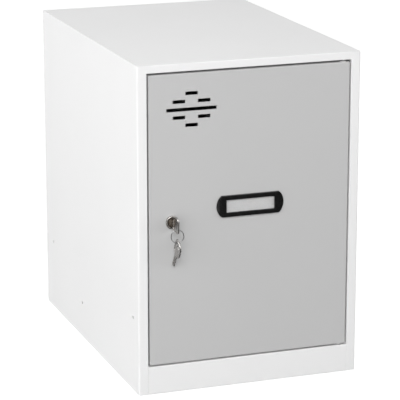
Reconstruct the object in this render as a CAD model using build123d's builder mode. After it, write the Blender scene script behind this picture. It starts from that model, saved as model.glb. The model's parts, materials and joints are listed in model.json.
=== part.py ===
from build123d import *
import math
import os

# Small steel locker: a folded cabinet with one pivoted door, a cam lock with its keys and a label holder.
# X runs to the right, Y to the back and Z up; the door faces -Y and the cabinet stands on Z = 0.

# Sheet steel
sheet = 0.8
fold = 0.4
outer_fold = fold + sheet
cut_overrun = 5.0

# Cabinet
cabinet_width = 350.0
cabinet_depth = 500.0
cabinet_height = 500.0
upright_width = 15.0
upright_fold = 2.2
header_height = 12.0
plinth_height = 43.0
frame_return = 21.4
box_lip = 8.0
stop_lip = 14.0
joint_flange = 12.0
seam_fit = 0.03
flange_relief = 1.0
panel_fit = 0.6
plinth_foot = 15.0
floor_upstand = 22.0
floor_flange = 12.0

# Holes in both sides, for bolting lockers together and for fixing the floor
joining_hole = 5.0
joining_height = 115.0
joining_front = 27.0
joining_back = 42.0
floor_hole_depth = 293.0
floor_hole_height = 57.6

# Door
door_gap = 2.4
door_top_gap = 3.0
door_depth = 18.0
door_lip = 12.0
door_corner = 2.0
mitre_slit = 0.5
mitre_from_edge = 2.0
mitre_angle = 45.0

# Vents: a diamond of slots
vent_short = 19.2
vent_long = 77.6
vent_slot = 5.2
vent_corner = 0.8
vent_step = 19.4
vent_rise = 11.8
vent_from_left = 83.4
vent_below_top = 68.2

# Door stiffener, a hat section
hat_crown = 30.0
hat_depth = 12.0
hat_flange = 10.0
hat_from_end = 20.5
hat_from_edge = 70.0

# Pivots
pivot_from_edge = 9.5
pivot_behind_front = 5.0
pin_radius = 2.5
pin_reach = 6.0
pin_head_radius = 3.5
pin_head = 1.6
pin_point = 0.6
pin_collar_radius = 4.0
running_gap = 0.05
bush_wall = 1.0
bush_flange_radius = 4.6
bush_flange = 0.6
bush_below_plate = 3.0
pivot_plate = 1.5
pivot_plate_length = 32.0
pivot_plate_width = 14.0
pivot_plate_corner = 3.0

# Door bumpers
bumper_radius = 4.0
bumper_gap = 0.3
bumper_crown = 1.0
bumper_from_end = 60.0

# Cam lock
lock_from_left = 53.0
lock_height = 264.0
collar_radius = 10.0
collar_height = 3.0
collar_chamfer = 0.8
collar_recess = 1.0
collar_mouth = 0.6
barrel_radius = 8.0
barrel_flats = 14.0
barrel_length = 22.4
barrel_fit = 0.1
plug_radius = 6.0
plug_head_radius = 7.4
plug_head = 1.4
plug_bevel = 0.7
plug_shoulder = 0.6
drive_square = 8.0
keyway_width = 2.6
keyway_height = 8.2
keyway_spare = 0.3
lock_washer_radius = 12.0
lock_washer = 1.0
lock_nut_across = 22.0
lock_nut = 5.0
cam_thickness = 2.0
cam_width = 15.0
cam_eye_radius = 9.0
cam_reach = 36.0
cam_washer_radius = 6.5
cam_washer = 1.0
screw_radius = 2.5
screw_depth = 3.8
screw_fit = 0.05
screw_head_across = 8.0
screw_head = 3.5

# Keys
key_thickness = 2.0
key_blade_width = 7.4
key_blade_length = 21.0
key_tip_slope = 2.4
key_cut_depth = 1.5
key_cut_pitch = 3.2
key_cut_flat = 0.9
key_first_cut = 3.4
key_cut_shares = (0.6, 1.0, 0.4, 0.85, 0.55)
key_groove_width = 1.2
key_groove_depth = 0.45
key_neck_width = 9.6
key_neck = 3.0
bow_length = 25.0
bow_width = 24.0
bow_corner = 7.0
bow_edge = 0.4
bow_rim = 2.2
bow_field = 0.3
bow_slot_length = 15.0
bow_slot_width = 5.4
bow_slot_inset = 6.2
spare_tilt = 33.0

# Key ring, a split ring
ring_radius = 9.7
ring_wire = 1.0
ring_pitch = 1.45
ring_half_turns = 4
ring_offset_share = 0.75
ring_rest = 0.1

# Label holder
label_width = 106.0
label_height = 32.4
label_straight = 90.6
label_depth = 4.5
label_edge = 1.0
label_end_depth = 1.8
label_flat = 80.4
label_centre_height = 281.0
window_width = 76.4
window_height = 19.4
window_corner = 1.0
window_edge = 0.6
pocket_margin = 2.0
card_fit = 0.2
card_thickness = 0.3
film_thickness = 0.5
peg_from_end = 10.5
peg_radius = 2.4
peg_reach = 3.4
peg_fit = 0.1
barb_radius = 3.0
barb_length = 1.4
barb_taper = 25.0

# Back rivets
rivet_radius = 1.6
rivet_fit = 0.05
rivet_head_radius = 3.2
rivet_head = 1.0
rivet_bulb_radius = 2.5
rivet_bulb = 1.4
rivet_bulb_taper = 20.0
rivet_crown_share = 0.8
rivet_from_edge = 6.5
rivet_rows = 3
rivet_from_end = 60.0

# Places worked out from the sizes above. The keys stand in front of the door,
# so the cabinet sits a little behind the origin, which is under the middle of the whole.
lock_face = collar_height - collar_recess
key_reach = lock_face + key_neck + bow_length + bow_slot_length / 2
front_y = (key_reach - cabinet_depth) / 2
back_y = front_y + cabinet_depth
left_x = -cabinet_width / 2
right_x = cabinet_width / 2
inner_x = right_x - sheet
opening_x = right_x - upright_width
opening_bottom = plinth_height
opening_top = cabinet_height - header_height
side_height = cabinet_height - sheet
door_x = opening_x - door_gap
door_bottom = opening_bottom + door_gap
door_top = opening_top - door_top_gap
door_width = 2 * door_x
door_height = door_top - door_bottom
door_middle = (door_top + door_bottom) / 2
pivot_x = door_x - pivot_from_edge
pivot_y = front_y + pivot_behind_front
lock_x = left_x + lock_from_left
lock_nose = barrel_length + plug_shoulder
rivet_columns = 2 * (right_x - rivet_from_edge)
rivet_pitch = (side_height - 2 * rivet_from_end) / (rivet_rows - 1)
ring_room = ring_offset_share * ring_pitch + ring_wire / 2 + ring_rest
hang_in_slot = bow_slot_width / 2 - ring_room
bow_slot_reach = key_neck + bow_length - bow_slot_inset
slot_end = (bow_slot_length - bow_slot_width) / 2
ring_hang = Vector(lock_x, front_y - lock_face - bow_slot_reach, lock_height - slot_end - hang_in_slot)
ring_centre = ring_hang - Vector(0, 0, ring_radius)
spare_hang = ring_centre - Vector(0, 0, ring_radius)


def behind(depth):
    """A plane that faces the front, at a depth behind the door's face."""
    return Plane.XZ.offset(-(front_y + depth))


def level(height):
    """A level plane at a height above the ground."""
    return Plane.XY.offset(height)


def folded(points, radii):
    """The section of a folded sheet: the points follow one face and the steel lies on their left."""
    with BuildSketch() as section:
        with BuildLine():
            FilletPolyline(*points, radius=radii)
            offset(amount=sheet, side=Side.LEFT)
        make_face()
    return section.sketch


def flatted(radius, across):
    """The section of a round bar with a flat on its left and on its right."""
    with BuildSketch() as section:
        Circle(radius)
        Rectangle(across, 2 * radius, mode=Mode.INTERSECT)
    return section.sketch


def at_lock(depth):
    """A plane that faces the front, centred on the lock, at a depth behind the door's face."""
    return Plane((lock_x, front_y + depth, lock_height), x_dir=(1, 0, 0), z_dir=(0, -1, 0))


def at_label(depth):
    """The same, centred on the label holder."""
    return Plane((0, front_y + depth, label_centre_height), x_dir=(1, 0, 0), z_dir=(0, -1, 0))


def door_block(inset):
    """The outer form of the door as a solid, drawn in by an inset on every side."""
    with BuildPart() as block:
        with BuildSketch(behind(inset)):
            with Locations((0, door_middle)):
                RectangleRounded(door_width - 2 * inset, door_height - 2 * inset, door_corner - inset)
        extrude(amount=-(door_depth - 2 * inset))
        fillet(block.faces().filter_by(Axis.Y).edges(), radius=outer_fold - inset)
    return block.part


def rivet_pattern(radius):
    """The back rivets, a row on each side."""
    with BuildSketch() as pattern:
        with Locations((0, side_height / 2)):
            with GridLocations(rivet_columns, rivet_pitch, 2, rivet_rows):
                Circle(radius)
    return pattern.sketch


def side_panel(hand, lip, lip_fold):
    """A side of the cabinet, left (-1) or right (1): rear flange, wall, front upright, return and lip."""
    upright_x = left_x + upright_width
    outline = [
        (left_x + joint_flange, back_y),
        (left_x, back_y),
        (left_x, front_y),
        (upright_x, front_y),
        (upright_x, front_y + frame_return),
        (upright_x + lip, front_y + frame_return),
    ]
    flange_front = front_y + frame_return + sheet + flange_relief
    flange_back = back_y - sheet - flange_relief
    flange_length = flange_back - flange_front
    flange_centre = (left_x + joint_flange / 2, (flange_front + flange_back) / 2)
    notch_centre = (upright_x + (lip - sheet) / 2, front_y + frame_return + sheet / 2)
    with BuildPart() as panel:
        with BuildSketch():
            add(folded(outline, [outer_fold, upright_fold + sheet, outer_fold, lip_fold]))
        extrude(amount=side_height)
        # The lip that stops the door ends at the plinth and at the header
        if lip > 0:
            with BuildSketch():
                with Locations(notch_centre):
                    Rectangle(lip + sheet, sheet + 2 * fold)
            extrude(amount=plinth_height, mode=Mode.SUBTRACT)
            with BuildSketch(level(opening_top)):
                with Locations(notch_centre):
                    Rectangle(lip + sheet, sheet + 2 * fold)
            extrude(amount=header_height, mode=Mode.SUBTRACT)
        # Flanges along the top and the bottom edge
        with BuildSketch(level(0), level(side_height - sheet)):
            with Locations(flange_centre):
                Rectangle(joint_flange, flange_length)
        extrude(amount=sheet)
        # Joining holes and the hole for the floor
        with BuildSketch(Plane.YZ.offset(left_x)):
            with Locations(
                (front_y + joining_front, joining_height),
                (back_y - joining_back, joining_height),
                (front_y + floor_hole_depth, floor_hole_height),
            ):
                Circle(joining_hole / 2)
        extrude(amount=cut_overrun, mode=Mode.SUBTRACT)
        with BuildSketch(behind(cabinet_depth)):
            add(rivet_pattern(rivet_radius + rivet_fit))
        extrude(amount=2 * outer_fold, mode=Mode.SUBTRACT)
        if hand > 0:
            mirror(about=Plane.YZ, mode=Mode.REPLACE)
    return panel


# Cabinet
left_side = side_panel(-1, stop_lip, fold)
right_side = side_panel(1, -box_lip, outer_fold)

with BuildPart() as top_panel:
    with BuildSketch(Plane.YZ):
        add(
            folded(
                [
                    (back_y, cabinet_height - joint_flange),
                    (back_y, cabinet_height),
                    (front_y, cabinet_height),
                    (front_y, opening_top),
                    (front_y + frame_return, opening_top),
                    (front_y + frame_return, opening_top + box_lip),
                ],
                outer_fold,
            )
        )
    extrude(amount=opening_x + outer_fold, both=True)
    # The header's ends are welded: they fill the grooves beside the uprights' folds and stop at their walls
    with BuildSketch(level(opening_top)):
        for hand in (-1, 1):
            with Locations((hand * (opening_x + outer_fold), front_y + outer_fold)):
                Circle(outer_fold + seam_fit)
            with Locations((hand * (opening_x + outer_fold / 2), front_y + outer_fold + cabinet_depth / 2)):
                Rectangle(outer_fold, cabinet_depth)
    extrude(amount=header_height, mode=Mode.SUBTRACT)
    with BuildSketch(level(side_height)):
        with Locations((0, (front_y + back_y) / 2)):
            lid = Rectangle(cabinet_width, cabinet_depth)
            fillet(lid.vertices().group_by(Axis.Y)[0], radius=upright_fold + sheet)
            Rectangle(2 * opening_x, cabinet_depth, mode=Mode.SUBTRACT)
    extrude(amount=sheet)
    with Locations(Location((pivot_x, pivot_y, opening_top))):
        Cylinder(pin_radius + running_gap, 2 * cut_overrun, mode=Mode.SUBTRACT)

with BuildPart() as plinth:
    with BuildSketch(Plane.YZ):
        add(
            folded(
                [
                    (front_y + frame_return, plinth_height - joint_flange),
                    (front_y + frame_return, plinth_height),
                    (front_y, plinth_height),
                    (front_y, 0),
                    (front_y + plinth_foot, 0),
                ],
                outer_fold,
            )
        )
    extrude(amount=opening_x, both=True)
    with Locations(Location((pivot_x, pivot_y, plinth_height))):
        Cylinder(pin_radius + running_gap, 2 * cut_overrun, mode=Mode.SUBTRACT)

floor_front = front_y + frame_return
floor_back = back_y - 2 * sheet
with BuildPart() as floor_panel:
    with BuildSketch(Plane.YZ):
        add(
            folded(
                [
                    (floor_back, plinth_height - floor_flange),
                    (floor_back, plinth_height),
                    (floor_front, plinth_height),
                    (floor_front, plinth_height - floor_flange),
                ],
                outer_fold,
            )
        )
    extrude(amount=inner_x - outer_fold, both=True)
    for hand in (-1, 1):
        with BuildSketch(behind(frame_return + outer_fold)):
            add(
                folded(
                    [
                        (-inner_x, plinth_height - sheet + floor_upstand),
                        (-inner_x, plinth_height - sheet),
                        (-inner_x + 2 * outer_fold, plinth_height - sheet),
                    ],
                    outer_fold,
                )
            )
            if hand > 0:
                mirror(about=Plane.YZ, mode=Mode.REPLACE)
        extrude(amount=-(floor_back - floor_front - 2 * outer_fold))
    with BuildSketch(Plane.YZ.offset(-inner_x)):
        with Locations((front_y + floor_hole_depth, floor_hole_height)):
            Circle(joining_hole / 2)
    extrude(amount=2 * inner_x, mode=Mode.SUBTRACT)

back_high = side_height - sheet - fold
with BuildPart() as back_panel:
    with BuildSketch(Plane.YZ):
        add(
            folded(
                [
                    (back_y - sheet - floor_flange, 0),
                    (back_y - sheet, 0),
                    (back_y - sheet, back_high),
                ],
                outer_fold,
            )
        )
    extrude(amount=opening_x, both=True)
    with BuildSketch(behind(cabinet_depth - 2 * sheet)):
        with Locations((0, (sheet + back_high) / 2)):
            Rectangle(2 * (inner_x - panel_fit), back_high - sheet)
            Rectangle(2 * opening_x, back_high - sheet, mode=Mode.SUBTRACT)
    extrude(amount=-sheet)
    with BuildSketch(behind(cabinet_depth)):
        add(rivet_pattern(rivet_radius + rivet_fit))
    extrude(amount=2 * outer_fold, mode=Mode.SUBTRACT)

# Blind rivets hold the back panel to the flanges of the sides
with BuildPart() as back_rivets:
    with BuildSketch(behind(cabinet_depth + rivet_head)):
        add(rivet_pattern(rivet_head_radius))
    extrude(amount=rivet_head)
    heads = back_rivets.faces().sort_by(Axis.Y)[-2 * rivet_rows :]
    chamfer(heads.edges(), length=rivet_head * rivet_crown_share)
    with BuildSketch(behind(cabinet_depth)):
        add(rivet_pattern(rivet_radius))
    extrude(amount=2 * sheet + rivet_bulb)
    with BuildSketch(behind(cabinet_depth - 2 * sheet)):
        add(rivet_pattern(rivet_bulb_radius))
    extrude(amount=rivet_bulb, taper=rivet_bulb_taper)

# Door
peg_x = label_width / 2 - peg_from_end
bush_radius = pin_radius + running_gap + bush_wall
vent_x = left_x + vent_from_left
vent_height = cabinet_height - vent_below_top
short_vents = [
    (vent_x, vent_height + 2 * vent_rise),
    (vent_x - vent_step, vent_height + vent_rise),
    (vent_x + vent_step, vent_height + vent_rise),
    (vent_x - vent_step, vent_height - vent_rise),
    (vent_x + vent_step, vent_height - vent_rise),
    (vent_x, vent_height - 2 * vent_rise),
]
slit_middle = (door_lip + mitre_from_edge) / 2
slit_length = math.sqrt(2) * (door_lip - mitre_from_edge) + mitre_slit
slit_x = door_x - slit_middle
slit_z = door_height / 2 - slit_middle
with BuildPart() as door_panel:
    add(door_block(0))
    add(door_block(sheet), mode=Mode.SUBTRACT)
    with BuildSketch(behind(door_depth)):
        with Locations((0, door_middle)):
            Rectangle(door_width - 2 * door_lip, door_height - 2 * door_lip)
        # The lips meet in a slit at each corner, as folded ones do
        for hand in (-1, 1):
            for rise in (-1, 1):
                with Locations((hand * slit_x, door_middle + rise * slit_z)):
                    Rectangle(slit_length, mitre_slit, rotation=hand * rise * mitre_angle)
    extrude(amount=2 * sheet, mode=Mode.SUBTRACT)
    with BuildSketch(behind(0)):
        with Locations(*short_vents):
            RectangleRounded(vent_short, vent_slot, vent_corner)
        with Locations((vent_x, vent_height)):
            RectangleRounded(vent_long, vent_slot, vent_corner)
        with Locations((-peg_x, label_centre_height), (peg_x, label_centre_height)):
            Circle(peg_radius + peg_fit)
    extrude(amount=-2 * sheet, mode=Mode.SUBTRACT)
    with BuildSketch(at_lock(0)):
        add(flatted(barrel_radius + barrel_fit, barrel_flats + 2 * barrel_fit))
    extrude(amount=-2 * sheet, mode=Mode.SUBTRACT)
    with BuildSketch(level(door_bottom), level(door_top - 2 * sheet)):
        with Locations((pivot_x, pivot_y)):
            Circle(bush_radius)
    extrude(amount=2 * sheet, mode=Mode.SUBTRACT)

with BuildPart() as door_stiffener:
    back_of_sheet = front_y + sheet
    crown = back_of_sheet + hat_depth - sheet
    hat_middle = door_x - hat_from_edge
    hat_left = hat_middle - hat_crown / 2
    hat_right = hat_middle + hat_crown / 2
    with BuildSketch(level(door_bottom + hat_from_end)):
        add(
            folded(
                [
                    (hat_left - hat_flange, back_of_sheet),
                    (hat_left, back_of_sheet),
                    (hat_left, crown),
                    (hat_right, crown),
                    (hat_right, back_of_sheet),
                    (hat_right + hat_flange, back_of_sheet),
                ],
                [outer_fold, fold, fold, outer_fold],
            )
        )
    extrude(amount=door_height - 2 * hat_from_end)

with BuildPart() as pivot_plates:
    plate_middle = (
        door_x - sheet - door_corner - pivot_plate_length / 2,
        front_y + outer_fold + pivot_plate_width / 2,
    )
    with BuildSketch(level(door_bottom + sheet), level(door_top - sheet - pivot_plate)):
        with Locations(plate_middle):
            RectangleRounded(pivot_plate_length, pivot_plate_width, pivot_plate_corner)
        with Locations((pivot_x, pivot_y)):
            Circle(bush_radius, mode=Mode.SUBTRACT)
    extrude(amount=pivot_plate)


def pivot_bush(foot, up):
    """A flanged plastic bush, from the door's edge at foot into the door: upwards (1), downwards (-1)."""
    sleeve = sheet + pivot_plate + bush_below_plate
    with BuildPart() as bush:
        with BuildSketch(level(foot)):
            with Locations((pivot_x, pivot_y)):
                Circle(bush_flange_radius)
        extrude(amount=-up * bush_flange)
        with BuildSketch(level(foot)):
            with Locations((pivot_x, pivot_y)):
                Circle(bush_radius)
        extrude(amount=up * sleeve)
        with BuildSketch(level(foot - up * bush_flange)):
            with Locations((pivot_x, pivot_y)):
                Circle(pin_radius + running_gap)
        extrude(amount=up * (bush_flange + sleeve), mode=Mode.SUBTRACT)
    return bush


lower_bush = pivot_bush(door_bottom, 1)
upper_bush = pivot_bush(door_top, -1)

with BuildPart() as lower_pivot_pin:
    with BuildSketch(level(plinth_height - sheet - pin_head)):
        with Locations((pivot_x, pivot_y)):
            Circle(pin_head_radius)
    extrude(amount=pin_head)
    with BuildSketch(level(plinth_height)):
        with Locations((pivot_x, pivot_y)):
            Circle(pin_collar_radius)
    extrude(amount=door_gap - bush_flange)
    with BuildSketch(level(plinth_height - sheet)):
        with Locations((pivot_x, pivot_y)):
            Circle(pin_radius)
    extrude(amount=sheet + door_gap + pin_reach)
    chamfer(lower_pivot_pin.faces().sort_by(Axis.Z)[-1].edges(), length=pin_point)

with BuildPart() as upper_pivot_pin:
    with BuildSketch(level(opening_top + sheet)):
        with Locations((pivot_x, pivot_y)):
            Circle(pin_head_radius)
    extrude(amount=pin_head)
    with BuildSketch(level(opening_top + sheet)):
        with Locations((pivot_x, pivot_y)):
            Circle(pin_radius)
    extrude(amount=-(sheet + door_top_gap + pin_reach))
    chamfer(upper_pivot_pin.faces().sort_by(Axis.Z)[0].edges(), length=pin_point)

with BuildPart() as door_bumpers:
    bumper_x = -opening_x + stop_lip / 2
    with BuildSketch(behind(frame_return)):
        with Locations(
            (bumper_x, door_bottom + bumper_from_end),
            (bumper_x, door_top - bumper_from_end),
        ):
            Circle(bumper_radius)
    extrude(amount=frame_return - door_depth - bumper_gap)
    chamfer(door_bumpers.faces().sort_by(Axis.Y)[:2].edges(), length=bumper_crown)

# Cam lock
with BuildPart() as lock_barrel:
    with BuildSketch(at_lock(0)):
        Circle(collar_radius)
    extrude(amount=collar_height)
    chamfer(lock_barrel.faces().sort_by(Axis.Y)[0].edges(), length=collar_chamfer)
    with BuildSketch(at_lock(0)):
        add(flatted(barrel_radius, barrel_flats))
    extrude(amount=-barrel_length)
    with BuildSketch(at_lock(-collar_height)):
        Circle(plug_head_radius + running_gap)
    extrude(amount=-(collar_recess + plug_head), mode=Mode.SUBTRACT)
    mouth = lock_barrel.faces().sort_by(Axis.Y)[0].inner_wires()[0]
    chamfer(mouth.edges(), length=collar_mouth)
    with BuildSketch(at_lock(-collar_height)):
        Circle(plug_radius + running_gap)
    extrude(amount=-(collar_height + barrel_length), mode=Mode.SUBTRACT)

with BuildPart() as lock_washer_ring:
    with BuildSketch(at_lock(sheet)):
        Circle(lock_washer_radius)
        add(flatted(barrel_radius + barrel_fit, barrel_flats + 2 * barrel_fit), mode=Mode.SUBTRACT)
    extrude(amount=-lock_washer)

with BuildPart() as lock_nut_hex:
    with BuildSketch(at_lock(sheet + lock_washer)):
        RegularPolygon(lock_nut_across / 2, 6, major_radius=False)
        Circle(barrel_radius + barrel_fit, mode=Mode.SUBTRACT)
    extrude(amount=-lock_nut)

with BuildPart() as lock_plug:
    with BuildSketch(at_lock(-lock_face)):
        Circle(plug_head_radius)
    extrude(amount=-plug_head)
    chamfer(lock_plug.faces().sort_by(Axis.Y)[0].edges(), length=plug_bevel)
    with BuildSketch(at_lock(-lock_face)):
        Circle(plug_radius)
    extrude(amount=-(lock_face + lock_nose))
    with BuildSketch(at_lock(lock_nose)):
        Rectangle(drive_square, drive_square)
        Circle(plug_radius, mode=Mode.INTERSECT)
    extrude(amount=-cam_thickness)
    with BuildSketch(at_lock(-lock_face)):
        Rectangle(keyway_width, keyway_height)
    extrude(amount=-(key_blade_length + keyway_spare), mode=Mode.SUBTRACT)
    with BuildSketch(at_lock(lock_nose + cam_thickness)):
        Circle(screw_radius + screw_fit)
    extrude(amount=screw_depth + screw_fit, mode=Mode.SUBTRACT)

with BuildPart() as lock_cam:
    with BuildSketch(at_lock(lock_nose)):
        Circle(cam_eye_radius)
        with Locations((0, cam_width / 2 - cam_reach)):
            Circle(cam_width / 2)
        make_hull()
        Rectangle(drive_square + 2 * screw_fit, drive_square + 2 * screw_fit, mode=Mode.SUBTRACT)
    extrude(amount=-cam_thickness)

with BuildPart() as cam_washer_ring:
    with BuildSketch(at_lock(lock_nose + cam_thickness)):
        Circle(cam_washer_radius)
        Circle(screw_radius + screw_fit, mode=Mode.SUBTRACT)
    extrude(amount=-cam_washer)

with BuildPart() as cam_screw:
    screw_seat = lock_nose + cam_thickness + cam_washer
    with BuildSketch(at_lock(screw_seat)):
        RegularPolygon(screw_head_across / 2, 6, major_radius=False)
    extrude(amount=-screw_head)
    with BuildSketch(at_lock(screw_seat)):
        Circle(screw_radius)
    extrude(amount=cam_washer + screw_depth)


def flat_key(plane):
    """A flat key: the plane's X runs from the blade's shoulder out to the bow, its Z across the steel."""
    with BuildPart() as key:
        with BuildSketch(plane):
            with Locations((key_neck + bow_length / 2, 0)):
                RectangleRounded(bow_length, bow_width, bow_corner)
            with Locations((bow_slot_reach, 0)):
                SlotOverall(bow_slot_length, bow_slot_width, rotation=90, mode=Mode.SUBTRACT)
        extrude(amount=key_thickness / 2, both=True)
        chamfer(key.faces().filter_by(Axis.X).edges(), length=bow_edge)
        with BuildSketch(plane):
            with Locations(((key_neck + bow_corner) / 2, 0)):
                Rectangle(key_neck + bow_corner, key_neck_width)
            with Locations((-key_blade_length / 2, 0)):
                blade = Rectangle(key_blade_length, key_blade_width)
                chamfer(blade.vertices().group_by(Axis.X)[0], length=key_tip_slope)
            for number, share in enumerate(key_cut_shares):
                cut = share * key_cut_depth
                with Locations((-key_first_cut - number * key_cut_pitch, -key_blade_width / 2)):
                    Polygon(
                        (-key_cut_flat / 2 - cut, 0),
                        (key_cut_flat / 2 + cut, 0),
                        (key_cut_flat / 2, cut),
                        (-key_cut_flat / 2, cut),
                        align=None,
                        mode=Mode.SUBTRACT,
                    )
        extrude(amount=key_thickness / 2, both=True)
        half_key = key_thickness / 2
        # A shallow field is pressed into both faces of the bow, inside a rim
        with BuildSketch(plane.offset(half_key), plane.offset(bow_field - half_key)):
            with Locations((key_neck + bow_length / 2, 0)):
                RectangleRounded(bow_length - 2 * bow_rim, bow_width - 2 * bow_rim, bow_corner - bow_rim)
        extrude(amount=-bow_field, mode=Mode.SUBTRACT)
        with BuildSketch(plane.offset(half_key), plane.offset(key_groove_depth - half_key)):
            with Locations((-key_blade_length / 2, 0)):
                Rectangle(key_blade_length, key_groove_width)
        extrude(amount=-key_groove_depth, mode=Mode.SUBTRACT)
    return key


key_plane = Plane((lock_x, front_y - lock_face, lock_height), x_dir=(0, -1, 0), z_dir=(-1, 0, 0))
lock_key = flat_key(key_plane)

# The spare key hangs on the ring by the end of its slot and leans out at its bow
tilt = math.radians(spare_tilt)
outward = Vector(0, -math.sin(tilt), math.cos(tilt))
across = Vector(0, math.cos(tilt), math.sin(tilt))
hang_point = outward * bow_slot_reach + across * slot_end + Vector(0, 0, hang_in_slot)
spare_plane = Plane(spare_hang - hang_point, x_dir=outward, z_dir=(-1, 0, 0))
spare_key = flat_key(spare_plane)

# The ring's wire climbs by half a pitch in each half turn. Each half turn is half a torus, leaning a little
with BuildPart() as key_ring:
    half_climb = ring_pitch / 2
    for number in range(ring_half_turns):
        side = 1 - 2 * (number % 2)
        climbed = ring_centre.Y + (number - ring_half_turns / 2) * half_climb
        middle = Vector(ring_centre.X, climbed + half_climb / 2, ring_centre.Z)
        with BuildSketch(level(ring_centre.Z)):
            with Locations((ring_centre.X + side * ring_radius, climbed)):
                Circle(ring_wire / 2)
        revolve(axis=Axis(middle, (side * half_climb, 2 * ring_radius, 0)), revolution_arc=180)

# Label holder
with BuildPart() as label_frame:
    half_width = label_width / 2
    half_flat = label_flat / 2
    label_front = front_y - label_depth
    with BuildSketch(level(label_centre_height)):
        with BuildLine():
            Line((-half_flat, label_front), (half_flat, label_front))
            TangentArc((half_flat, label_front), (half_width, front_y - label_end_depth), tangent=(1, 0))
            Line((half_width, front_y - label_end_depth), (half_width, front_y))
            Line((half_width, front_y), (-half_width, front_y))
            Line((-half_width, front_y), (-half_width, front_y - label_end_depth))
            TangentArc((-half_flat, label_front), (-half_width, front_y - label_end_depth), tangent=(-1, 0))
        make_face()
    extrude(amount=label_height / 2, both=True)
    with BuildSketch(at_label(0)):
        with BuildLine():
            half_straight = label_straight / 2
            half_height = label_height / 2
            Line((-half_straight, half_height), (half_straight, half_height))
            ThreePointArc((half_straight, half_height), (half_width, 0), (half_straight, -half_height))
            Line((half_straight, -half_height), (-half_straight, -half_height))
            ThreePointArc((-half_straight, -half_height), (-half_width, 0), (-half_straight, half_height))
        make_face()
    extrude(amount=label_depth, mode=Mode.INTERSECT)
    front_edges = label_frame.edges().filter_by(lambda edge: edge.center().Y < front_y - label_end_depth / 2)
    fillet(front_edges.filter_by(Axis.Z, reverse=True).filter_by(Axis.Y, reverse=True), radius=label_edge)
    with BuildSketch(at_label(0)):
        RectangleRounded(window_width, window_height, window_corner)
    extrude(amount=label_depth, mode=Mode.SUBTRACT)
    chamfer(label_frame.faces().sort_by(Axis.Y)[0].inner_wires()[0].edges(), length=window_edge)
    with BuildSketch(at_label(0)):
        Rectangle(window_width + 2 * pocket_margin, window_height + 2 * pocket_margin)
    extrude(amount=card_thickness + film_thickness, mode=Mode.SUBTRACT)
    with BuildSketch(at_label(0)):
        with Locations((-peg_x, 0), (peg_x, 0)):
            Circle(peg_radius)
    extrude(amount=-peg_reach)
    with BuildSketch(at_label(sheet + peg_fit)):
        with Locations((-peg_x, 0), (peg_x, 0)):
            Circle(barb_radius)
    extrude(amount=-barb_length, taper=barb_taper)

pocket_width = window_width + 2 * pocket_margin
pocket_height = window_height + 2 * pocket_margin
with BuildPart() as label_card:
    with BuildSketch(at_label(0)):
        Rectangle(pocket_width - 2 * card_fit, pocket_height - 2 * card_fit)
    extrude(amount=card_thickness)

with BuildPart() as label_window:
    with BuildSketch(at_label(-card_thickness)):
        Rectangle(pocket_width - 2 * card_fit, pocket_height - 2 * card_fit)
    extrude(amount=film_thickness)

pieces = {
    "left_side": left_side,
    "right_side": right_side,
    "top_panel": top_panel,
    "back_panel": back_panel,
    "floor_panel": floor_panel,
    "plinth": plinth,
    "back_rivets": back_rivets,
    "upper_pivot_pin": upper_pivot_pin,
    "lower_pivot_pin": lower_pivot_pin,
    "door_bumpers": door_bumpers,
    "door_panel": door_panel,
    "door_stiffener": door_stiffener,
    "pivot_plates": pivot_plates,
    "upper_bush": upper_bush,
    "lower_bush": lower_bush,
    "lock_barrel": lock_barrel,
    "lock_washer": lock_washer_ring,
    "lock_nut": lock_nut_hex,
    "label_frame": label_frame,
    "label_card": label_card,
    "label_window": label_window,
    "lock_plug": lock_plug,
    "lock_cam": lock_cam,
    "cam_washer": cam_washer_ring,
    "cam_screw": cam_screw,
    "lock_key": lock_key,
    "key_ring": key_ring,
    "spare_key": spare_key,
}
os.makedirs("parts", exist_ok=True)
for name, piece in pieces.items():
    piece.part.label = name
    export_step(piece.part, f"parts/{name}.step")
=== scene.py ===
import json
import math

import bmesh
import bpy
from mathutils import Euler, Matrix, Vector


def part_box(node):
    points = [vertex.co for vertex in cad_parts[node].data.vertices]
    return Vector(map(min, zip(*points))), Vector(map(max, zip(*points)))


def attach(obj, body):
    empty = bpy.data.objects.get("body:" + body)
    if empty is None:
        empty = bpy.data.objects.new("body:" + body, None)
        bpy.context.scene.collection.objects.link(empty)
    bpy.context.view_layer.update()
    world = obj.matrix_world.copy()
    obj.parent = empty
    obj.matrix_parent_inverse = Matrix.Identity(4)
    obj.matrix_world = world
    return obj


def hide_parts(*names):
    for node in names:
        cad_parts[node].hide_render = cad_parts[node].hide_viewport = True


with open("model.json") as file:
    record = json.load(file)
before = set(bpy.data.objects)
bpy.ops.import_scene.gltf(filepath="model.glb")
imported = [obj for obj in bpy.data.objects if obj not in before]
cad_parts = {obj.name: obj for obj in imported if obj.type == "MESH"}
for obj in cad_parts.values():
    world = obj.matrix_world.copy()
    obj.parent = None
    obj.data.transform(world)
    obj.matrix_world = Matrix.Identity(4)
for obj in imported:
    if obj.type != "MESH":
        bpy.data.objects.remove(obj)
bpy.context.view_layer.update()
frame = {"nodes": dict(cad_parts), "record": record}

nodes = frame["nodes"]
mm = 0.001


class Value:
    """A socket in a tree of nodes. Sums and products of values add Math nodes to the tree."""

    def __init__(self, tree, socket):
        self.tree = tree
        self.socket = socket

    def joined(self, operation, first, second):
        return self.tree.add("ShaderNodeMath", {"operation": operation}, {0: first, 1: second})

    def __add__(self, other):
        return self.joined("ADD", self, other)

    def __sub__(self, other):
        return self.joined("SUBTRACT", self, other)

    def __rsub__(self, other):
        return self.joined("SUBTRACT", other, self)

    def __mul__(self, other):
        return self.joined("MULTIPLY", self, other)

    __radd__ = __add__
    __rmul__ = __mul__


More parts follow.
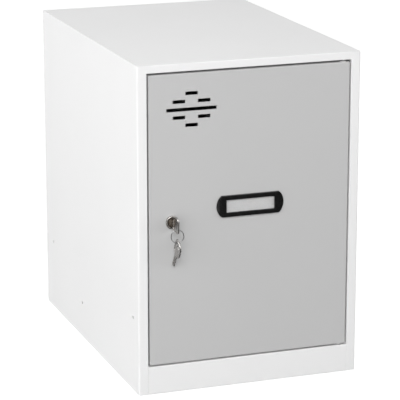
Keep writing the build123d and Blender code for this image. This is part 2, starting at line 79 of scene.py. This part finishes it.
class Tree:
    """The nodes of a material or of the world."""

    def __init__(self, owner):
        owner.use_nodes = True
        self.kept = owner.node_tree
        self.kept.nodes.clear()

    def set(self, target, value):
        """Gives a socket a constant or a link."""
        if isinstance(value, Value):
            self.kept.links.new(value.socket, target)
        else:
            target.default_value = value

    def add(self, kind, settings=None, inputs=None, output=0):
        """A node with its settings and the constants or links of its sockets. Returns one of its outputs."""
        node = self.kept.nodes.new(kind)
        for key, value in (settings or {}).items():
            setattr(node, key, value)
        for key, value in (inputs or {}).items():
            self.set(node.inputs[key], value)
        return Value(self, node.outputs[output]) if len(node.outputs) else None


class Finish(Tree):
    """A material with one Principled shader."""

    def __init__(self, name, **constants):
        self.material = bpy.data.materials.new(name)
        super().__init__(self.material)
        surface = self.add("ShaderNodeBsdfPrincipled")
        self.shader = surface.socket.node
        self.add("ShaderNodeOutputMaterial", None, {"Surface": surface})
        self.feed(**constants)

    def socket(self, name):
        """The shader's socket of a name written in small letters, such as base_color or ior."""
        wanted = name.replace("_", " ")
        return next(s for s in self.shader.inputs if s.name.lower() == wanted)

    def feed(self, **values):
        for name, value in values.items():
            self.set(self.socket(name), value)

    def place(self, scale=(1.0, 1.0, 1.0), turn=(0.0, 0.0, 0.0)):
        """Object coordinates in metres, stretched and turned."""
        here = self.add("ShaderNodeTexCoord", output="Object")
        return self.add("ShaderNodeMapping", None, {"Vector": here, "Scale": scale, "Rotation": turn})

    def cloud(self, size=1.0, detail=2.0, rough=0.5, where=None, seed=0.0):
        """Noise around 0.5 whose patches are about a size across, in metres or in the units of where."""
        inputs = {"Scale": 1 / size, "Detail": detail, "Roughness": rough, "W": seed}
        inputs["Vector"] = where or self.place()
        return self.add("ShaderNodeTexNoise", {"noise_dimensions": "4D"}, inputs)

    def step(self, value, low, high):
        """0 below low, 1 above high and smooth between."""
        limits = {"Value": value, "From Min": low, "From Max": high}
        return self.add("ShaderNodeMapRange", {"interpolation_type": "SMOOTHSTEP"}, limits)

    def blend(self, share, first, second):
        """A colour between two colours."""
        inputs = {"Factor": share, 6: first, 7: second}
        return self.add("ShaderNodeMix", {"data_type": "RGBA"}, inputs, output=2)

    def bump(self, height, depth):
        """A normal from a height in units of depth, in metres."""
        return self.add("ShaderNodeBump", None, {"Height": height, "Distance": depth, "Strength": 1.0})


def grey(level, warm=0.0):
    """A neutral colour, a little warm or cool."""
    return (level * (1 + warm), level, level * (1 - warm), 1.0)


# Powder coat: a fine orange peel over folded sheet, faint clouds in the colour and light rubs on it
coat_ior = 1.45
coat_patch = 90 * mm
coat_grain = 0.7 * mm
coat_shades = (0.975, 1.02, 0.95)
wide_share = 0.6
fine_share = 0.4
cloud_roughens = 0.1
rub_stretch = (14.0, 14.0, 110.0)
rub_turn = (0.3, 0.5, 0.2)
rub_cover = 0.35
rub_polish = 0.08
peel_coarse = 2.2 * mm
peel_fine = 0.55 * mm
peel_depth = 0.012 * mm


def powder_coat(name, level, roughness):
    coat = Finish(name, ior=coat_ior)
    darkest, lightest, worn = (grey(level * shade) for shade in coat_shades)
    clouds = coat.cloud(coat_patch, detail=3.0)
    speckle = coat.cloud(coat_grain, detail=1.0, seed=3.0)
    rubs = coat.cloud(detail=4.0, rough=0.7, where=coat.place(rub_stretch, rub_turn), seed=5.0)
    rubbed = coat.step(rubs, low=0.62, high=0.78)
    colour = coat.blend(clouds * wide_share + speckle * fine_share, darkest, lightest)
    coarse, fine = (coat.cloud(size, detail=1.0) for size in (peel_coarse, peel_fine))
    coat.feed(
        base_color=coat.blend(rubbed * rub_cover, colour, worn),
        roughness=clouds * cloud_roughens + roughness - rubbed * rub_polish,
        normal=coat.bump(coarse * wide_share + fine * fine_share, peel_depth),
    )
    return coat.material


# Plated steel: clouds of tarnish, and scratches as fine as hairs
tarnish_darkens = 0.86
tarnish_warms = 1.5
tarnish_roughens = 0.12
hair_stretch = (300.0, 1400.0, 2600.0)
hair_turn = (0.4, 0.2, 0.7)
hair_roughens = 0.08


def plated(name, level, warm, roughness, patch, scratch):
    plate = Finish(name, metallic=1.0)
    bright, dull = grey(level, warm), grey(level * tarnish_darkens, warm * tarnish_warms)
    tarnish = plate.step(plate.cloud(patch, detail=3.0), low=0.35, high=0.7)
    hairs = plate.cloud(detail=2.0, rough=0.6, where=plate.place(hair_stretch, hair_turn))
    plate.feed(
        base_color=plate.blend(tarnish, bright, dull),
        roughness=tarnish * tarnish_roughens + hairs * hair_roughens + roughness,
        normal=plate.bump(hairs, scratch),
    )
    return plate.material


# Moulded plastic and rubber: a fine grain, and a little dust that lies uneven
plastic_ior = 1.4
dust_patch = 9 * mm
dust_cover = 0.5
grain_roughens = 0.15


def plastic(name, colour, dusty, roughness, grain, depth):
    moulding = Finish(name, ior=plastic_ior)
    clouds = moulding.cloud(dust_patch, detail=3.0)
    spark = moulding.cloud(grain, detail=1.0, seed=2.0)
    dust = moulding.step(clouds, low=0.5, high=0.8) * dust_cover
    moulding.feed(
        base_color=moulding.blend(dust, colour, dusty),
        roughness=spark * grain_roughens + clouds * cloud_roughens + roughness,
        normal=moulding.bump(spark, depth),
    )
    return moulding.material


# Card: fibres along its length, and faint clouds
card_patch = 14 * mm
card_dark = grey(0.59)
card_pale = grey(0.65)
card_roughness = 0.8
fibre_stretch = (400.0, 2500.0, 2500.0)
fibre_share = 0.5
fibre_roughens = 0.1
fibre_depth = 0.02 * mm


def card_paper(name):
    paper = Finish(name)
    fibres = paper.cloud(detail=3.0, rough=0.6, where=paper.place(fibre_stretch))
    clouds = paper.cloud(card_patch)
    paper.feed(
        base_color=paper.blend(fibres * fibre_share + clouds * (1 - fibre_share), card_dark, card_pale),
        roughness=fibres * fibre_roughens + card_roughness,
        normal=paper.bump(fibres, fibre_depth),
    )
    return paper.material


# Clear film over the card: a thin, uneven haze
film_ior = 1.49
film_roughness = 0.08
film_alpha = 0.1
haze_patch = 20 * mm
haze_dark = grey(0.75)
haze_pale = grey(0.85)
haze_roughens = 0.2
haze_alpha = 0.08
haze_depth = 0.05 * mm


def clear_film(name):
    film = Finish(name, ior=film_ior)
    haze = film.cloud(haze_patch, detail=3.0)
    film.feed(
        base_color=film.blend(haze, haze_dark, haze_pale),
        roughness=haze * haze_roughens + film_roughness,
        alpha=haze * haze_alpha + film_alpha,
        normal=film.bump(haze, haze_depth),
    )
    return film.material


finishes = {
    "body_paint": powder_coat("body_paint", level=0.86, roughness=0.48),
    "door_paint": powder_coat("door_paint", level=0.545, roughness=0.46),
    "zinc_plate": plated("zinc_plate", 0.62, -0.01, roughness=0.3, patch=6 * mm, scratch=0.01 * mm),
    "lock_nickel": plated("lock_nickel", 0.45, 0.04, roughness=0.12, patch=5 * mm, scratch=0.004 * mm),
    "key_nickel": plated("key_nickel", 0.48, 0.03, roughness=0.16, patch=5 * mm, scratch=0.006 * mm),
    "ring_wire": plated("ring_wire", 0.35, 0.0, roughness=0.22, patch=3 * mm, scratch=0.006 * mm),
    "label_black": plastic(
        "label_black", grey(0.005), dusty=grey(0.014), roughness=0.14, grain=0.35 * mm, depth=0.01 * mm,
    ),
    "label_paper": card_paper("label_paper"),
    "label_clear": clear_film("label_clear"),
    "bumper_rubber": plastic(
        "bumper_rubber", grey(0.03), dusty=grey(0.08), roughness=0.6, grain=0.5 * mm, depth=0.02 * mm,
    ),
    "bush_nylon": plastic(
        "bush_nylon", grey(0.75, 0.01), grey(0.68, 0.02), roughness=0.4, grain=0.4 * mm, depth=0.008 * mm,
    ),
}
slots = {row["node"]: row["material_slot"] for row in frame["record"]["subparts"]}
for name, material_slot in slots.items():
    skin = nodes[name].data.materials
    skin.clear()
    skin.append(finishes[material_slot])
# The plug is duller and browner than the barrel round it; its much darker colour is painted shade of the
# lock's recess and painted dark reflection
plug_brown_painted_shade = plated("plug_brown_painted_shade", 0.17, 0.14, roughness=0.2, patch=3 * mm, scratch=0.004 * mm)
nodes["lock_plug"].data.materials[0] = plug_brown_painted_shade


def as_mesh(name, shape):
    """A mesh of what a bmesh holds. The bmesh is freed."""
    mesh = bpy.data.meshes.new(name)
    shape.to_mesh(mesh)
    shape.free()
    return mesh


def in_scene(name, data):
    """A new object that shows a mesh, a lamp or a camera."""
    thing = bpy.data.objects.new(name, data)
    bpy.context.scene.collection.objects.link(thing)
    return thing


# Turned and threaded fittings, finer than the CAD's: each replaces its node and lies on its axis, along Y
grid_half = 0.5
weld = 0.001 * mm
sliver = 0.0001 * mm
sharp_edge = math.radians(35)
least_cosine = 0.1
rows_in_turn = 5


def ends(node):
    """A node's first and last places along Y."""
    return [corner[1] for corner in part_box(node)]


def profile(start, way, table):
    """Rows of a table in millimetres: how far along Y from start, and how far out from the axis."""
    return [(start + way * far * mm, out * mm) for far, out in table]


def flat_sided(radius, across, sides, first=0.0):
    """A round section with flat sides: how far it reaches at each turn about the axis."""
    apart = math.tau / sides

    def reach(turn, along):
        off_middle = (turn - first + apart / 2) % apart - apart / 2
        return min(radius, across / 2 / max(math.cos(off_middle), least_cosine))

    return reach


def threaded(start, end, radius, groove, pitch, section=None):
    """Rows along a thread on a round bar, or on one with another section."""

    def reach(turn, along):
        wave = abs((along / pitch - turn / math.tau) % 1.0 - 0.5) * 2
        thread_reach = radius - groove * wave
        return min(section(turn, along), thread_reach) if section else thread_reach

    count = round((end - start) / pitch * rows_in_turn)
    return [(start + (end - start) * number / count, reach) for number in range(count + 1)]


def turned(name, node, body, rows, centres, steps=96):
    """A piece turned about an axis along Y, at each of its centres.

    A row is a place along Y and a reach, which is a radius or a function of turn and place.
    """
    shape = bmesh.new()
    last = len(rows) - 1
    for centre in centres:
        grid = bmesh.ops.create_grid(shape, x_segments=steps, y_segments=last, size=grid_half)
        for vert in grid["verts"]:
            turn = math.tau * (vert.co.x + grid_half)
            along, reach = rows[round((vert.co.y + grid_half) * last)]
            radius = reach(turn, along) if callable(reach) else reach
            vert.co = (centre.x + radius * math.cos(turn), along, centre.z + radius * math.sin(turn))
    bmesh.ops.remove_doubles(shape, verts=shape.verts, dist=weld)
    bmesh.ops.dissolve_degenerate(shape, edges=shape.edges, dist=sliver)
    bmesh.ops.recalc_face_normals(shape, faces=shape.faces)
    mesh = as_mesh(name, shape)
    mesh.shade_smooth()
    mesh.set_sharp_from_angle(angle=sharp_edge)
    piece = in_scene(name, mesh)
    material_slot = slots[node]
    mesh.materials.append(finishes[material_slot])
    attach(piece, body)
    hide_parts(node)


lock_low, lock_high = (Vector(corner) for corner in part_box("lock_barrel"))
lock_axis = (lock_low + lock_high) / 2
hex_first = math.pi / 6

# Barrel of the lock: bore, groove round the plug, collar, and a thread between two flats
collar_front, barrel_end = ends("lock_barrel")
collar_back = collar_front + 3.0 * mm
collar_radius = 10.0 * mm
collar_rim = [(0.6, 7.45), (0.15, 7.95), (0.0, 8.2), (0.0, 8.9), (0.2, 9.35), (0.75, 9.85), (1.3, 10.0)]
bore_radius = 6.05 * mm
groove_radius = 7.45 * mm
groove_floor = collar_front + 2.42 * mm
barrel_radius = 8.0 * mm
barrel_end_radius = 7.2 * mm
barrel = flat_sided(barrel_radius, across=14.0 * mm, sides=2)
thread_start = collar_back + 2.2 * mm
thread_end = barrel_end - 0.6 * mm
turned("threaded_barrel", "lock_barrel", "door", [
    (barrel_end, bore_radius),
    (groove_floor, bore_radius),
    (groove_floor, groove_radius),
    *profile(collar_front, 1, collar_rim),
    (collar_back, collar_radius),
    (collar_back, barrel),
    (thread_start, barrel),
    *threaded(thread_start, thread_end, barrel_radius, groove=0.5 * mm, pitch=1.0 * mm, section=barrel),
    (barrel_end, barrel_end_radius),
    (barrel_end, bore_radius),
], [lock_axis])

# Hexagon nut with its corners turned off on both faces
nut_front, nut_back = ends("lock_nut")
nut_across = 22.0 * mm
nut_bore = 8.1 * mm
nut_bevel = 0.8 * mm
nut_section = flat_sided(12.7 * mm, nut_across, sides=6, first=hex_first)
nut_face = flat_sided(11.3 * mm, nut_across, sides=6, first=hex_first)
turned("bevelled_nut", "lock_nut", "door", [
    (nut_front, nut_bore),
    (nut_front, nut_face),
    (nut_front + nut_bevel, nut_section),
    (nut_back - nut_bevel, nut_section),
    (nut_back, nut_face),
    *profile(nut_back, -1, [(0.0, 8.7), (0.6, 8.1)]),
    (nut_front, nut_bore),
], [lock_axis])

# Screw that holds the cam: a thread, and a hexagon head with a shallow dish
screw_tip, head_back = ends("cam_screw")
head_front = head_back - 3.5 * mm
head_bevel = 0.7 * mm
head_top = [(0.1, 3.7), (0.0, 3.3), (0.0, 2.0), (0.25, 1.5), (0.25, 0.0)]
head_section = flat_sided(4.62 * mm, across=8.0 * mm, sides=6, first=hex_first)
screw_radius = 2.5 * mm
screw_neck = 2.3 * mm
screw_start = screw_tip + 0.4 * mm
screw_end = head_front - 0.3 * mm
turned("threaded_screw", "cam_screw", "lock_core", [
    *profile(screw_tip, 1, [(0.0, 0.0), (0.0, 2.0)]),
    *threaded(screw_start, screw_end, screw_radius, groove=0.35 * mm, pitch=0.8 * mm),
    (head_front, screw_neck),
    (head_front, head_section),
    (head_back - head_bevel, head_section),
    *profile(head_back, -1, head_top),
], [lock_axis])

# Blind rivets in the back: domed heads with the hole that the mandrel leaves, and bulbs inside
bulb_front, rivet_back = ends("back_rivets")
rivet_low, rivet_high = (Vector(corner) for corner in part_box("back_rivets"))
rivet_radius = 3.2 * mm
rivet_hole = [(0.8, 0.0), (0.8, 0.8), (0.1, 0.95)]
rivet_dome = [(0.0, 1.2), (0.12, 2.0), (0.45, 2.8), (0.85, 3.15), (1.0, 3.2), (1.0, 1.6)]
rivet_bulb = [(1.4, 1.6), (1.3, 2.3), (0.9, 2.5), (0.3, 2.1), (0.0, 1.3), (0.0, 0.0)]
rivet_rows = profile(rivet_back, -1, rivet_hole + rivet_dome) + profile(bulb_front, 1, rivet_bulb)
rivet_rise = rivet_high.z - rivet_low.z - 2 * rivet_radius
rivet_centres = [
    Vector((x, 0.0, rivet_low.z + rivet_radius + rivet_rise * number / 2))
    for x in (rivet_low.x + rivet_radius, rivet_high.x - rivet_radius)
    for number in range(3)
]
turned("domed_rivets", "back_rivets", "cabinet", rivet_rows, rivet_centres, steps=32)


# Floor, light and camera
def sheet_of_light(name, size, place, aim, power):
    """A soft box that faces a point."""
    lamp = bpy.data.lights.new(name, "AREA")
    lamp.shape = "RECTANGLE"
    lamp.size, lamp.size_y = size
    lamp.energy = power
    holder = in_scene(name, lamp)
    holder.location = place
    holder.rotation_euler = (Vector(aim) - Vector(place)).to_track_quat("-Z", "Y").to_euler()


def studio_light(front, around, zenith, band, mirrored):
    """A tent of soft light, white to the camera and brightest low at the sides and behind.

    Metal and glass mirror a fade from dark below to light above.
    """
    world = bpy.data.worlds.new("studio")
    sky = Tree(world)

    def between(low, high, share, start=0.0, end=1.0):
        """From low to high while a share goes from start to end."""
        limits = {"To Min": low, "To Max": high, "Value": share, "From Min": start, "From Max": end}
        return sky.add("ShaderNodeMapRange", None, limits)

    def towards(axis):
        """How far a direction in the sky leans along an axis."""
        direction = sky.add("ShaderNodeTexCoord", output="Generated")
        return sky.add("ShaderNodeSeparateXYZ", None, {0: direction}, axis)

    def ray(kind):
        return sky.add("ShaderNodeLightPath", output=kind)

    low = between(front, around, towards("Y"), start=-1.0, end=0.0)
    soft = between(low, zenith, towards("Z"), *band)
    shiny = between(*mirrored, towards("Z"))
    lit = between(soft, shiny, ray("Is Glossy Ray"))
    strength = between(between(lit, 1.0, ray("Is Transmission Ray")), 1.0, ray("Is Camera Ray"))
    glow = sky.add("ShaderNodeBackground", None, {"Color": grey(1.0), "Strength": strength})
    sky.add("ShaderNodeOutputWorld", None, {"Surface": glow})
    bpy.context.scene.world = world


def pale_floor(half_size, patch, mottle, bounce, seen, glow):
    """A faintly mottled floor that the camera sees as white but for the object's shadow."""
    shape = bmesh.new()
    bmesh.ops.create_grid(shape, x_segments=1, y_segments=1, size=half_size)
    mesh = as_mesh("floor", shape)
    floor = in_scene("floor", mesh)
    paint = Finish("floor_paint", roughness=0.9, emission_strength=1.0)
    camera_ray = paint.add("ShaderNodeLightPath", output="Is Camera Ray")
    mottled = paint.blend(paint.cloud(patch), grey(seen), grey(seen * mottle))
    paint.feed(
        base_color=paint.blend(camera_ray, grey(bounce), mottled),
        emission_color=paint.blend(camera_ray, grey(0.0), grey(glow)),
    )
    mesh.materials.append(paint.material)


camera_yaw = math.radians(-19.67)
camera_pitch = math.radians(14.99)
camera = bpy.data.cameras.new("camera")
camera.sensor_width = 36.0
camera.lens = 189.9
camera.clip_end = 100.0
camera_object = in_scene("camera", camera)
camera_object.location = (-1.087, -3.052, 1.096)
camera_object.rotation_euler = Euler((math.pi / 2 - camera_pitch, 0.0, camera_yaw), "XYZ")
bpy.context.scene.camera = camera_object

studio_light(front=1.6, around=3.0, zenith=0.05, band=(0.1, 0.7), mirrored=(0.1, 1.3))
pale_floor(half_size=20.0, patch=0.4, mottle=1.03, bounce=0.1, seen=0.4, glow=0.78)
sheet_of_light("side_light", (1.8, 1.4), place=(-2.9, 0.3, 2.0), aim=(-0.175, 0.1, 0.3), power=33.0)
sheet_of_light("front_light", (2.0, 1.4), place=(-0.95, -3.1, 2.3), aim=(0.0, -0.23, 0.3), power=64.0)
sheet_of_light("low_light", (0.6, 0.14), place=(-0.62, -1.15, 0.08), aim=(-0.05, -0.25, 0.15), power=1.0)
bpy.context.scene.view_settings.view_transform = "Standard"
